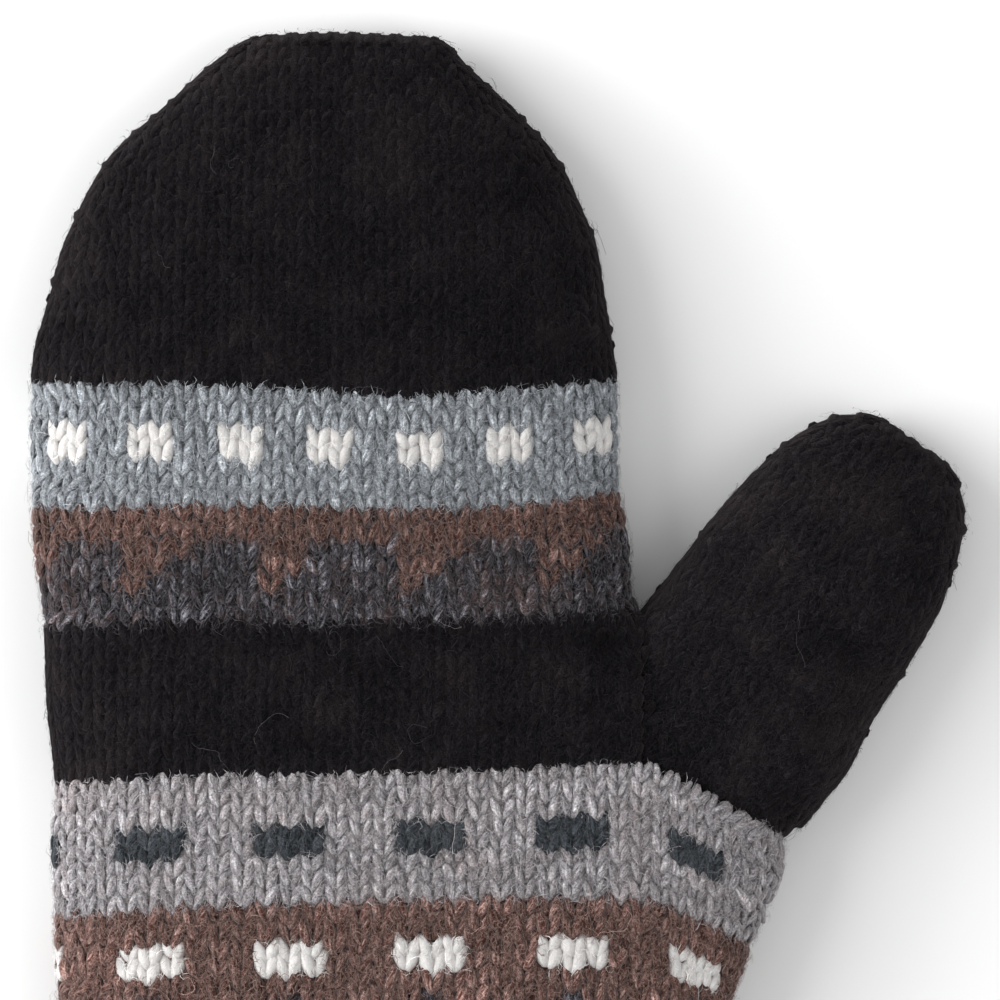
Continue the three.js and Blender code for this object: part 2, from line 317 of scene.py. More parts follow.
def between(table, y):
    """A value at y from a table of (y, value)"""
    rows = np.array(table, float)
    return np.interp(y, rows[:, 0], rows[:, 1])


def smooth(table, place):
    """Every column of a table at a place in its first column, along smooth curves"""
    rows = np.array(table, float)
    last = len(rows) - 1
    place = np.asarray(place, float)
    i = np.clip(np.searchsorted(rows[:, 0], place, side="right") - 1, 0, last - 1)
    a, b = rows[i], rows[i + 1]
    before, after = rows[np.maximum(i - 1, 0)], rows[np.minimum(i + 2, last)]
    span = (b - a)[..., :1]
    t = np.clip((place[..., None] - a[..., :1]) / span, 0, 1)
    slope_a = (b - before) / (b - before)[..., :1] * span
    slope_b = (after - a) / (after - a)[..., :1] * span
    return (
        a * (1 + 2 * t) * (1 - t) ** 2
        + slope_a * t * (1 - t) ** 2
        + b * t**2 * (3 - 2 * t)
        + slope_b * t**2 * (t - 1)
    )


def section(table, y, inset):
    """left, right, bottom and top of the cross-sections at y, taken in by inset"""
    size = smooth(table, y)
    left, right, bottom, top = (size[..., k] for k in range(1, 5))
    low = bottom + inset
    return left + inset, right - inset, low, np.maximum(top - inset, low + THINNEST)


def side_middle(bottom, top):
    """The height at which the sides stand out most"""
    return bottom + SIDE_HEIGHT * (top - bottom)


def upper_height(across, left, right, bottom, top):
    """Height of the upper side, which falls away steeply beyond left and right"""
    u = np.abs(2 * across - left - right) / (right - left)
    side = side_middle(bottom, top)
    rise = np.clip(1 - u**TOP_ROUNDNESS, 0, 1) ** (1 / TOP_ROUNDNESS)
    return side + (top - side) * rise - STEEP * np.clip(u - 1, 0, 1)


def lower_height(across, left, right, bottom, top):
    """Height of the lower side, which rises steeply beyond left and right"""
    u = np.abs(2 * across - left - right) / (right - left)
    side = side_middle(bottom, top)
    drop = np.clip(1 - u**UNDER_ROUNDNESS, 0, 1) ** (1 / UNDER_ROUNDNESS)
    pressed = np.maximum(bottom, side - UNDER_PRESS * (side - bottom) * drop)
    return pressed + STEEP * np.clip(u - 1, 0, 1)


def to_thumb(x, y):
    """Across and along the thumb, from a place in the hand"""
    dx, dy = x - THUMB_ROOT[0], y - THUMB_ROOT[1]
    c, s = math.cos(THUMB_LEAN), math.sin(THUMB_LEAN)
    return dx * c - dy * s, dx * s + dy * c


def from_thumb(across, along):
    """x and y in the hand, from a place in the thumb"""
    c, s = math.cos(THUMB_LEAN), math.sin(THUMB_LEAN)
    return THUMB_ROOT[0] + across * c + along * s, THUMB_ROOT[1] - across * s + along * c


def outermost(upper, z, other):
    """The higher of two upper sides, or the lower of two lower ones, rounded where they cross"""
    sign = 1 if upper else -1
    a, b = sign * z, sign * other
    rounding = np.sqrt((a - b) ** 2 + BLEND**2)
    return sign * (0.5 * (a + b + rounding) - 0.5 * BLEND * np.exp(-np.abs(a - b)))


def round_y(height, x):
    """The y of a round at x"""
    share = np.clip((height - DROOP_FROM_Y) / (DROOP_TO_Y - DROOP_FROM_Y), 0, 1)
    out = np.clip((x - DROOP_START_X) / DROOP_WIDTH, 0, 1.1)
    shifts = smooth(SETTLED, x)[..., 1:]
    i = min(int(np.searchsorted(SETTLED_HEIGHTS, height)), len(SETTLED_HEIGHTS) - 1)
    low, high = SETTLED_HEIGHTS[max(i - 1, 0)], SETTLED_HEIGHTS[i]
    part = min(max((height - low) / max(high - low, 1), 0), 1)
    settled = shifts[..., max(i - 1, 0)] * (1 - part) + shifts[..., i] * part
    return height - DROOP_MOST * share * out**DROOP_POWER + settled


class Course:
    """One round of stitches on the upper or lower side, from its left end to its right."""

    def __init__(self, points, across, middle, width, upper):
        self.points = points
        self.upper = upper
        steps = np.linalg.norm(np.diff(points, axis=0), axis=1)
        self.along = np.concatenate([[0], np.cumsum(steps)])
        widths = np.broadcast_to(width, across.shape)
        stitches = steps * 2 / (widths[1:] + widths[:-1])
        self.stitches = np.concatenate([[0], np.cumsum(stitches)])
        self.middle = np.interp(middle, across, self.stitches)
        self.ends = (self.middle, self.stitches[-1] - self.middle)
        self.counts = [max(1, int(round(end))) for end in self.ends]

    def numbers(self):
        """The stitches' numbers, negative to the left of the pattern's middle"""
        return np.arange(-self.counts[0], self.counts[1])

    def place(self, number):
        """The points at these numbers of stitches from the middle"""
        far = np.zeros_like(number, dtype=float)
        for sign, end, count in zip((-1, 1), self.ends, self.counts):
            n = np.clip(sign * number, 0, count)
            eased = min(EASED, count)
            knee = count - eased
            reach = np.where(n <= knee, n, knee + (n - knee) * (end - knee) / eased)
            far = np.where(sign * number > 0, sign * reach, far)
        return self.points_at(self.middle + far, self.stitches)

    def even(self, count):
        """count points spread evenly from end to end"""
        return self.points_at(np.linspace(0, self.along[-1], count), self.along)

    def points_at(self, s, measure):
        """The points at s, by this measure along the round"""
        return np.stack([np.interp(s, measure, self.points[:, k]) for k in range(3)], axis=-1)


def places_across(left, right):
    """Places from left to right, denser at both ends"""
    turn = np.cos(np.linspace(0, math.pi, PLACES_ACROSS))
    share = -np.sign(turn) * np.abs(turn) ** CROWDED
    return left + (right - left) * (share + 1) / 2


def hand_course(height, upper, cut=False, inset=SINK):
    """A round of the hand. With cut, it ends at the thumb's seam."""
    tip = HAND[-1][0] + CLOSING_RISE - inset
    closing = height > tip
    height = min(height, tip)
    left, right = section(HAND, height, inset)[:2]
    for _ in range(FITTINGS):
        left = section(HAND, round_y(height, left), inset)[0]
        right = section(HAND, round_y(height, right), inset)[1]
    x = places_across(left, right)
    if cut:
        x = x[x < SEAM_X]
        x = np.append(x, SEAM_X)
    y = round_y(height, x)
    sizes = section(HAND, y, inset)
    fitted = (left, right) + sizes[2:]
    measure = upper_height if upper else lower_height
    z = measure(x, *fitted)
    if cut:
        across, along = to_thumb(x, y)
        other = measure(across, *section(THUMB, along, inset))
        z = outermost(upper, z, other)
    if closing:
        z = side_middle(*sizes[2:])
    points = np.stack([x, y, z], axis=-1)
    width = np.full(len(x), between(STITCH_WIDTH, height))
    if height < NARROWED_BELOW_Y:
        width *= np.interp(x, (NARROWED_FROM_X, NARROWED_BY_X), (1, NARROWED))
    return Course(points, x, between(PATTERN_X, height), width, upper)


def border_along(across):
    """How far along the thumb the border with the light grey band lies"""
    names = [name for name, _, _ in BANDS]
    below = BANDS[: names.index("palm_band")]
    x = np.linspace(SEAM_X - 6, SEAM_X + 40, 80)
    border = round_y(sum(rounds for _, rounds, _ in below) * COURSE, x)
    p, q = to_thumb(x, border)
    return np.interp(across, p, q)


def thumb_course(number, upper, inset=SINK):
    """A round of the thumb, counted from the border. The first ones end at the seam."""
    tip = THUMB[-1][0] - inset
    mean = float(border_along(BORDER_MIDDLE))
    along = mean + number * (tip + THUMB_CLOSING - mean) / THUMB_ROUNDS
    closing = along > tip
    along = min(along, tip)
    left, right = section(THUMB, along, inset)[:2]
    bend = max(0, 1 - number / STRAIGHTENED)
    p = places_across(left, right)
    q = along + (border_along(p) - mean) * bend
    x, y = from_thumb(p, q)
    kept = (x >= SEAM_X - SEAM_OVERLAP) | (y > CROTCH_Y)
    p, q, x, y = p[kept], q[kept], x[kept], y[kept]
    sizes = section(THUMB, np.maximum(q, 0), inset)
    fitted = (left, right) + sizes[2:]
    measure = upper_height if upper else lower_height
    z = measure(p, *fitted)
    hand = measure(x, *section(HAND, y, inset))
    fade = np.clip(x - PALM_FADE_X, 0, None) ** 2 + np.clip(y - CROTCH_Y, 0, None) ** 2
    inward = -1 if upper else 1
    z = outermost(upper, z, hand + inward * fade)
    z += inward * SEAM_DIVE * np.clip((SEAM_X + SEAM_FADE - x) / (SEAM_OVERLAP + SEAM_FADE), 0, 1)
    if closing:
        z = side_middle(*sizes[2:])
    points = np.stack([x, y, z], axis=-1)
    return Course(points, p, 0.0, THUMB_STITCH_WIDTH, upper)


# The yarn's own shapes


def unit(vectors):
    """The vectors, each made one long"""
    return vectors / (np.linalg.norm(vectors, axis=-1, keepdims=True) + 1e-9)


def tube(rings, sides):
    """The faces of a closed tube, and where their corners lie in a unit square: its four-sided
    faces, then the three-sided ones at its ends"""
    t = np.linspace(0.1, 0.9, rings)
    quads, quad_places, ends, end_places = [], [], [], []
    for r in range(rings - 1):
        for m in range(sides):
            n, a, b = (m + 1) % sides, r * sides, (r + 1) * sides
            low, high = m / sides, (m + 1) / sides
            quads.append((a + m, a + n, b + n, b + m))
            quad_places.append(((t[r], low), (t[r], high), (t[r + 1], high), (t[r + 1], low)))
    first, last = rings * sides, rings * sides + 1
    far = (rings - 1) * sides
    for m in range(sides):
        n, low, high = (m + 1) % sides, m / sides, (m + 1) / sides
        ends.append((n, m, first))
        end_places.append(((t[0], high), (t[0], low), (0.03, (low + high) / 2)))
        ends.append((far + m, far + n, last))
        end_places.append(((t[-1], low), (t[-1], high), (0.97, (low + high) / 2)))
    return (quads, quad_places), (ends, end_places)


def ribbon(steps):
    """The faces of a flat ribbon, and where their corners lie in a unit square"""
    quads, places = [], []
    for k in range(steps - 1):
        low, high = k / (steps - 1), (k + 1) / (steps - 1)
        quads.append((2 * k, 2 * k + 1, 2 * k + 3, 2 * k + 2))
        places.append(((low, 0), (low, 1), (high, 1), (high, 0)))
    return ((quads, places),)


def sweep(centres, radii, flat, outward, sides, tip=None):
    """Closed tubes along centres (n, rings, 3), flattened along outward (n, 3). Returns points
    (n, rings * sides + 2, 3) and each point's place on its own yarn, for the fibres. Each ends in
    a blunt point, or at tip."""
    n, rings, _ = centres.shape
    tangent = unit(np.gradient(centres, axis=1))
    out = outward[:, None, :]
    out = unit(out - tangent * np.sum(tangent * out, axis=2, keepdims=True))
    wide = np.cross(tangent, out)
    angle = np.arange(sides) * 2 * math.pi / sides
    ring = (
        np.cos(angle)[None, None, :, None] * wide[:, :, None, :]
        + flat * np.sin(angle)[None, None, :, None] * out[:, :, None, :]
    )
    skin = centres[:, :, None, :] + ring * radii[..., None, None]
    tips = np.stack(
        [
            centres[:, 0] - tangent[:, 0] * radii[:, 0, None] * BLUNT,
            centres[:, -1] + tangent[:, -1] * radii[:, -1, None] * BLUNT,
        ],
        axis=1,
    )
    if tip is not None:
        tips[:, 1] = tip
    points = np.concatenate([skin.reshape(n, rings * sides, 3), tips], axis=1)
    steps = np.linalg.norm(np.diff(centres, axis=1), axis=2)
    length = np.concatenate([np.zeros((n, 1)), np.cumsum(steps, axis=1)], axis=1)
    twist = angle[None, None, :] + TWIST * length[..., None]
    fibre = np.stack(
        [
            np.cos(twist) * radii[..., None],
            np.sin(twist) * radii[..., None],
            np.broadcast_to(length[..., None], twist.shape),
        ],
        axis=-1,
    ).reshape(n, rings * sides, 3)
    end_fibre = np.zeros((n, 2, 3))
    end_fibre[:, 1, 2] = length[:, -1]
    fibre = np.concatenate([fibre, end_fibre], axis=1)
    fibre += rng.uniform(-FIBRE_SPAN, FIBRE_SPAN, (n, 1, 3))
    return points, fibre


class Knit:
    """The mesh of one piece, gathered from batches of like shapes"""

    def __init__(self, name, paler=1.0):
        self.name = name
        self.paler = paler
        self.batches = []
        self.finishes = []

    def number(self, finish):
        """The finish's number in this piece"""
        if finish not in self.finishes:
            self.finishes.append(finish)
        return self.finishes.index(finish)

    def add(self, finish, points, fibre, tone, shape, loose=0.0, grain=1):
        """A batch of like shapes: points (n, v, 3) in mm, fibre the same, tone (n, v) or (n, 1),
        and shape, one shape's faces and their places on a map. loose is how much it is a hair."""
        n, v, _ = points.shape
        batch = {
            "points": points,
            "fibre": fibre,
            # tone holds each shape's own tone, and for legs and the backing wall also their painted shade.
            "tone": np.broadcast_to(tone, (n, v)) * self.paler,
            "loose": np.full((n, v), loose),
            "finish": self.number(finish),
            "shape": shape,
            "grain": grain,
        }
        self.batches.append(batch)

    def gathered(self, key, width):
        """One value of every point of the piece, in rows of this width"""
        return np.concatenate([batch[key].reshape(-1, width) for batch in self.batches])

    def faces(self):
        """The faces' corners, where each face starts, its finish and its corners' places on the
        map, on which each cell holds one shape or grain squared of them"""
        cells = sum(-(-len(batch["points"]) // batch["grain"] ** 2) for batch in self.batches)
        across = int(math.ceil(math.sqrt(cells)))
        corners, starts, finishes, maps = [], [], [], []
        corner_count, point_count, cell = 0, 0, 0
        for batch in self.batches:
            n, v, _ = batch["points"].shape
            grain = batch["grain"]
            shift = point_count + np.arange(n)[:, None, None] * v
            number, part = cell + np.arange(n) // grain**2, np.arange(n) % grain**2
            origin = np.stack([number % across, number // across], axis=-1).astype(float)
            origin += np.stack([part % grain, part // grain], axis=-1) / grain
            for faces, places in batch["shape"]:
                block = shift + np.array(faces)[None]
                count, size = block.shape[1:]
                corners.append(block.reshape(-1))
                starts.append(corner_count + np.arange(n * count) * size)
                finishes.append(np.full(n * count, batch["finish"]))
                corner_count += n * count * size
                inside = (CELL_MARGIN + (1 - 2 * CELL_MARGIN) * np.array(places)) / grain
                maps.append(((origin[:, None, None, :] + inside[None]) / across).reshape(-1, 2))
            point_count += n * v
            cell += -(-n // grain**2)
        return tuple(np.concatenate(rows) for rows in (corners, starts, finishes, maps))

    def build(self):
        """The piece itself, in metres and in the frame's place, kept above the floor"""
        places = (self.gathered("points", 3) + np.array([-MIDDLE_X, MOUTH_Y, 0])) * MM
        places[:, 2] = np.maximum(places[:, 2], 0)
        corners, starts, finishes, maps = self.faces()
        mesh = bpy.data.meshes.new(self.name)
        mesh.vertices.add(len(places))
        mesh.vertices.foreach_set("co", places.astype(np.float32).ravel())
        mesh.loops.add(len(corners))
        mesh.loops.foreach_set("vertex_index", corners.astype(np.int32))
        mesh.polygons.add(len(starts))
        mesh.polygons.foreach_set("loop_start", starts.astype(np.int32))
        mesh.polygons.foreach_set("material_index", finishes.astype(np.int32))
        mesh.polygons.foreach_set("use_smooth", np.ones(len(starts), bool))
        mesh.update(calc_edges=True)
        fibre = mesh.attributes.new("fibre", "FLOAT_VECTOR", "POINT")
        fibre.data.foreach_set("vector", self.gathered("fibre", 3).astype(np.float32).ravel())
        # The tone attribute carries each stitch's own tone times the painted shade of legs and backing wall.
        for name in ("tone", "loose"):
            values = self.gathered(name, 1).astype(np.float32).ravel()
            mesh.attributes.new(name, "FLOAT", "POINT").data.foreach_set("value", values)
        bake_map = mesh.uv_layers.new(name="OFBake")
        bake_map.data.foreach_set("uv", maps.astype(np.float32).ravel())
        for finish in self.finishes:
            mesh.materials.append(FINISHES[finish])
        piece = bpy.data.objects.new(self.name, mesh)
        bpy.context.scene.collection.objects.link(piece)
        return piece


# Stitches


def stitch_frames(course, above, numbers):
    """Middle, across, up, outward and curl of the stitches at these numbers. The curl is how the
    fabric bends away from the straight line across."""
    half = numbers + 0.5
    low_limit = -above.counts[0] + 0.5
    high_limit = above.counts[1] - 0.5
    middle = course.place(half)
    left, right = course.place(half - 0.5), course.place(half + 0.5)
    across = right - left
    curl = 2 * (left + right - 2 * middle)
    up = above.place(np.clip(half, low_limit, high_limit)) - middle
    outward = unit(np.cross(across, up))
    if not course.upper:
        outward = -outward
    return middle, across, up, outward, curl


def on_frames(frames, a, b, c):
    """Points from shares of a stitch across and up, and millimetres outward"""
    middle, across, up, outward, curl = (f[:, None, :] for f in frames)
    a, b, c = a[..., None], b[..., None], c[..., None]
    return middle + a * across + a**2 * curl + b * up + c * outward


def drifting(count, amount):
    """Tones that drift along the yarn from stitch to stitch"""
    tone = rng.normal(0, 1, count)
    for k in range(1, count):
        tone[k] = 0.7 * tone[k - 1] + 0.714 * tone[k]
    darkest, palest = 0.5, 1.9
    return np.clip(np.exp(amount * tone), darkest, palest)


def painted_leg_shade(rings, sides, amount):
    """How bright each point of a leg is, as painted shade: darker towards its sides and ends, where
    the wool shades them, and lifted a little along its ridge
    """
    out = np.clip(np.sin(np.arange(sides) * 2 * math.pi / sides), 0, 1)
    along = np.sin(math.pi * np.linspace(0.06, 0.94, rings)) ** 0.6
    bright = out[None, :] * (0.35 + 0.65 * along[:, None])
    bright = np.concatenate([bright.ravel(), [0.15, 0.15]])
    return (1 + 0.3 * amount) * (1 - amount * (1 - bright))[None, :]


def add_legs(knit, finish, frames, tone, fineness, habit, hang=0.0, lift=0.0, reach=REACH):
    """The two slanted legs that each knit stitch shows. hang is how much lower a stitch starts, lift
    how much higher it lies, and reach how far up its legs reach."""
    rings, sides = fineness
    n = len(frames[0])
    t = np.linspace(0, 1, rings)[None, :]
    unruly = habit["unruly"]
    shift = rng.normal(0, 0.025, (n, 1)) * unruly
    fat = rng.normal(1, 0.06, (n, 1))
    hang = np.reshape(hang, (-1, 1)) + rng.normal(0, 0.07, (n, 1)) * unruly
    for sign in (-1, 1):
        wobble = rng.normal(0, 1, (n, 5, 1)) * unruly * np.array(WOBBLE)[:, None]
        sideways, upwards, outwards, thicker, wider = np.moveaxis(wobble, 1, 0)
        a = sign * (FOOT + SPLAY * t**0.9) + shift + sideways + wider * t
        b = LOW + (reach - LOW) * t - hang * (1 - t) + upwards
        c = LEG_HEIGHT - habit["dip"] * (0.45 * (1 - t) ** 3 + 1.05 * t**4) + outwards
        size = 1 - habit["taper"] * (1 - np.sin(math.pi * t) ** 0.6)
        size = habit["thick"] * fat * (1 + thicker) * size
        size = size * rng.normal(1, 0.05, (n, rings))
        centres = on_frames(frames, a, b, c + np.reshape(lift, (-1, 1)))
        points, fibre = sweep(centres, size, habit["flat"], frames[3], sides)
        leg_tone_and_painted_shade = tone * np.exp(rng.normal(0, habit["uneven"], n))
        # Painted shade: each leg's own tone is darkened towards its sides and ends.
        leg_tone_and_painted_shade = leg_tone_and_painted_shade[:, None] * painted_leg_shade(rings, sides, habit["shade"])
        knit.add(finish, points, fibre, leg_tone_and_painted_shade, tube(rings, sides))


def add_bumps(knit, finish, frames, tone, fineness, lift):
    """The bump across each purled stitch"""
    rings, sides = fineness
    t = np.linspace(0, 1, rings)[None, :]
    n = len(frames[0])
    arch = np.sin(math.pi * t)
    wobble = rng.normal(0, 1, (n, 3, 1))
    a = -RIB_BUMP + 2 * RIB_BUMP * t + 0.02 * wobble[:, 0]
    b = 0.1 + 0.42 * arch + 0.04 * wobble[:, 1]
    c = -0.7 + 0.75 * arch**0.8 + 0.05 * wobble[:, 2] + lift
    size = np.broadcast_to(0.62 + 0.4 * arch, a.shape)
    points, fibre = sweep(on_frames(frames, a, b, c), size, 0.85, frames[3], sides)
    knit.add(finish, points, fibre, tone[:, None], tube(rings, sides))


def directions(frames):
    """Unit vectors across and up"""
    across, outward = frames[1], frames[3]
    across = across / np.linalg.norm(across, axis=1, keepdims=True)
    return across, np.cross(outward, across)


def scattered(frames, count, spread):
    """count places over the stitches, each with its frame. spread is how many stitches' width
    each stitch's places cover."""
    pick = rng.integers(0, len(frames[0]), count)
    middle, across, up, outward, curl = (f[pick] for f in frames)
    place = rng.uniform(-0.5, 0.5, (count, 2)) * spread
    a, b = place[:, :1], place[:, 1:] + 0.1
    return (middle + a * across + a**2 * curl + b * up, across, up, outward)


def curling(frames, length, bend, height):
    """Paths (n, steps, 3) that wander over the stitches, mostly along their columns. bend is how
    far each turns in all and height how far out each step lies."""
    across, up = directions(frames)
    n, steps = height.shape
    heading = rng.normal(math.pi / 2, 0.8, (n, 1)) + math.pi * rng.integers(0, 2, (n, 1))
    heading = heading + bend * np.linspace(-0.5, 0.5, steps - 1)
    heading = heading + np.cumsum(rng.normal(0, 0.3, (n, steps - 1)), axis=1)
    stride = np.broadcast_to(length / (steps - 1), heading.shape)
    shares = []
    for strides in (stride * np.cos(heading), stride * np.sin(heading)):
        far = np.concatenate([np.zeros((n, 1)), np.cumsum(strides, axis=1)], axis=1)
        shares.append(far - far[:, steps // 2, None])
    shares.append(height)
    return frames[0][:, None, :] + sum(
        share[..., None] * axis[:, None, :] for share, axis in zip(shares, (across, up, frames[3]))
    )


def add_fuzz(knit, finish, frames, count, spread):
    """Fine short hairs, flat and curling, that lie over the stitches and blur them"""
    frames = scattered(frames, count, spread)
    height = FUZZ_HEIGHT + rng.normal(0, 0.16, (count, 1)) + np.array([FUZZ_RISE])
    length = rng.uniform(*FUZZ_LENGTHS, (count, 1))
    centres = curling(frames, length, rng.normal(0, FUZZ_BEND, (count, 1)), height)
    width = rng.uniform(*FUZZ_WIDTHS, (count, 1)) * np.array([FUZZ_TAPER])
    tone = np.exp(rng.normal(0, 0.22, (count, 1)))
    add_ribbons(knit, finish, centres, width, frames[3], tone, loose=0.6)


def add_ribbons(knit, finish, centres, width, outward, tone, loose):
    """Flat hairs along centres (n, steps, 3), of these widths"""
    count, steps, _ = centres.shape
    wide = np.cross(np.gradient(centres, axis=1), outward[:, None, :])
    wide *= 0.5 / (np.linalg.norm(wide, axis=2, keepdims=True) + 1e-9)
    edges = [centres - wide * width[..., None], centres + wide * width[..., None]]
    points = np.stack(edges, axis=2).reshape(count, 2 * steps, 3)
    fibre = np.repeat(np.arange(steps), 2)[None, :, None] * np.array([0, 0, 0.6])
    fibre = fibre + rng.uniform(-FIBRE_SPAN, FIBRE_SPAN, (count, 1, 3))
    knit.add(finish, points, fibre, tone, ribbon(steps), loose, HAIRS_TO_A_CELL)


def add_long_hairs(knit, finish, frames, paler):
    """A few long pale hairs that curl over the knitting"""
    chosen = rng.random(len(frames[0])) < LONG_HAIRS
    count = int(np.sum(chosen))
    if not count:
        return
    frames = tuple(f[chosen] for f in frames)
    height = LONG_HAIR_HEIGHT + rng.normal(0, 0.1, (count, LONG_HAIR_STEPS))
    length = rng.uniform(*LONG_HAIR_LENGTHS, (count, 1))
    centres = curling(frames, length, rng.normal(0, LONG_HAIR_BEND, (count, 1)), height)
    width = np.full((count, LONG_HAIR_STEPS), LONG_HAIR_WIDTH)
    tone = paler * np.exp(rng.normal(0, 0.45, (count, 1)))
    add_ribbons(knit, finish, centres, width, frames[3], tone, loose=1.0)


def add_strays(knit, finish, frames, count):
    """Longer loose hairs, round and curling, that stand off the stitches"""
    frames = scattered(frames, count, 1)
    length = np.clip(rng.lognormal(math.log(STRAY_LENGTH), 0.5, (count, 1)), *STRAY_LENGTHS)
    rise = rng.uniform(*STRAY_STEEPNESS, (count, 1)) * np.minimum(length, STRAY_RISES_UP_TO)
    height = STRAY_HEIGHT + rise * np.array([STRAY_RISE])
    centres = curling(frames, length, rng.normal(0, STRAY_BEND, (count, 1)), height)
    size = np.broadcast_to(np.array([STRAY_RADII]), (count, 3))
    points, fibre = sweep(centres[:, :3], size, 1.0, frames[3], 3, tip=centres[:, 3])
    tone = np.exp(rng.normal(0, 0.35, (count, 1)))
    knit.add(finish, points, fibre, tone, tube(3, 3), 1.0, HAIRS_TO_A_CELL)


def add_backing(knit, finish, layers):
    """The fabric behind the stitches: a thin wall through layers, each of which has its outer and
    its inner courses, upper and lower"""
    rings = []
    for outer, inner in layers:
        for upper, lower in (outer, inner):
            rings.append(np.concatenate([upper.even(WALL_POINTS)[::-1], lower.even(WALL_POINTS)]))
    count = 2 * WALL_POINTS
    points = np.concatenate(rings)
    quads = []
    for k in range(len(layers) - 1):
        low, high = 2 * k * count, (2 * k + 2) * count
        for i in range(count - 1):
            quads.append((low + i + 1, low + i, high + i, high + i + 1))
            quads.append((low + count + i, low + count + i + 1, high + count + i + 1, high + count + i))
        last = count - 1
        quads.append((low, low + count, high + count, high))
        quads.append((low + last + count, low + last, high + last, high + last + count))
    top = 2 * (len(layers) - 1) * count
    for i in range(count - 1):
        quads.append((i, i + 1, i + 1 + count, i + count))
        quads.append((top + i + 1, top + i, top + i + count, top + i + 1 + count))
    places = [[(0, 0), (1, 0), (1, 1), (0, 1)]] * len(quads)
    # The backing wall takes a painted shade tone, darker than the stitches over it.
    knit.add(finish, points[None], points[None] * 0.5, WALL_PAINTED_SHADE, ((quads, places),))


def chart_row(piece, level):
    """A row of a piece's chart, counted from its lowest. Past the highest it is still that one."""
    chart = CHARTS[piece]
    return chart[max(len(chart) - 1 - level, 0)]


def charted(piece, level, numbers, main):
    """The yarn of each stitch of a round, counted from the piece's lowest round"""
    if piece not in CHARTS:
        return [main] * len(numbers)
    row = chart_row(piece, level)
    last = LAST_FLECK.get(piece, math.inf)
    names = [main if n > last else LETTERS[row[n % len(row)]] for n in numbers]
    swaps = SWAPPED.get(piece, {})
    for k in np.flatnonzero(rng.random(len(numbers)) < SWAP_SHARE):
        beside = names[min(k + 1, len(names) - 1)]
        if swaps.get(names[k]) == beside:
            names[k] = beside
    return names


def add_hairs(knit, name, frames, upper, share=1.0):
    """A round's fine and stray hairs, as a share of what the yarn has in plain knitting"""
    share *= 1 if upper else HAIRS_UNDERNEATH
    share *= len(frames[0])
    habit = HABITS[name]
    add_fuzz(knit, name, frames, int(round(share * habit["fuzz"])), habit["spread"])
    add_strays(knit, name, frames, int(round(share * habit["strays"])))


def over_fleck(piece, level, numbers, main):
    """Which stitches of a round lie over a fleck of another yarn"""
    if piece not in HANGING or level == 0:
        return np.zeros(len(numbers), bool)
    row = chart_row(piece, level - 1)
    return np.array([LETTERS[row[n % len(row)]] != main for n in numbers])


def lying(piece, level, numbers, main, name):
    """How a round's stitches of one yarn lie: how much lower they start, how much higher they lie
    and how far up their legs reach"""
    if piece in HANGING and name != main:
        row_above = chart_row(piece, level + 1)
        hang = HANG * (numbers % len(row_above) == HANGING[piece])
        at_top = len(set(row_above)) == 1
        return hang, 0.0, TUCKED_REACH if at_top else REACH
    poking = over_fleck(piece, level, numbers, main)
    lift = FELTED_LIFT if main == "black" else POKE_LIFT * poking
    return POKE * poking, lift, REACH


def knit_round(knit, piece, level, main, course, above):
    """A plain round in the yarns of its chart, with its hairs"""
    numbers = course.numbers()
    names = charted(piece, level, numbers, main)
    fineness = COARSE if not course.upper else FELTED if main == "black" else FINE
    for name in sorted(set(names)):
        chosen = np.array([n == name for n in names])
        frames = stitch_frames(course, above, numbers[chosen])
        tone = drifting(len(numbers), HABITS[name]["drift"])[chosen]
        how = lying(piece, level, numbers[chosen], main, name)
        add_legs(knit, name, frames, tone, fineness, HABITS[name], *how)
        add_hairs(knit, name, frames, course.upper)
    if course.upper:
        frames = stitch_frames(course, above, numbers[EASED:-EASED])
        add_long_hairs(knit, main, frames, LONG_HAIR_PALER.get(main, OTHER_LONG_HAIR_PALER))


def knit_rib_round(knit, course, above, shown):
    """A round of the cuff: two knitted, two purled. shown is for the inside's few rounds."""
    numbers = course.numbers()
    frames = stitch_frames(course, above, numbers)
    knitted = numbers % RIB_REPEAT < RIB_KNITTED
    sides = [(frames, knitted, *RIB_OUTSIDE)]
    if shown:
        inside = frames[0] - frames[3] * (WALL - 2 * SINK)
        inner = (inside, frames[1], frames[2], -frames[3], frames[4])
        sides.append((inner, ~knitted, *RIB_INSIDE))
    for side_frames, legs, leg_lift, bump_lift in sides:
        part = tuple(f[legs] for f in side_frames)
        tone = drifting(len(part[0]), RIB_DRIFT)
        add_legs(knit, "black", part, tone, COARSE, RIB_HABIT, lift=leg_lift)
        part = tuple(f[~legs] for f in side_frames)
        tone = drifting(len(part[0]), RIB_DRIFT)
        add_bumps(knit, "black", part, tone, COARSE, bump_lift)
    add_hairs(knit, "black", frames, course.upper, RIB_HAIRS)


def wall_layers(make, heights, depth, last_depth=DEPTH):
    """The courses of a wall behind the stitches, at these heights. make gives a course from its
    height, its side and its depth. The wall dips to the plain depth at its lowest height and to
    last_depth at its highest, where the rest of it lies shallower."""
    least = {heights[0]: DEPTH, heights[-1]: last_depth}
    layers = []
    for height in heights:
        depths = (max(least.get(height, 0.0), depth), WALL)
        layers.append([[make(height, upper, inset=deep) for upper in (True, False)] for deep in depths])
    return layers


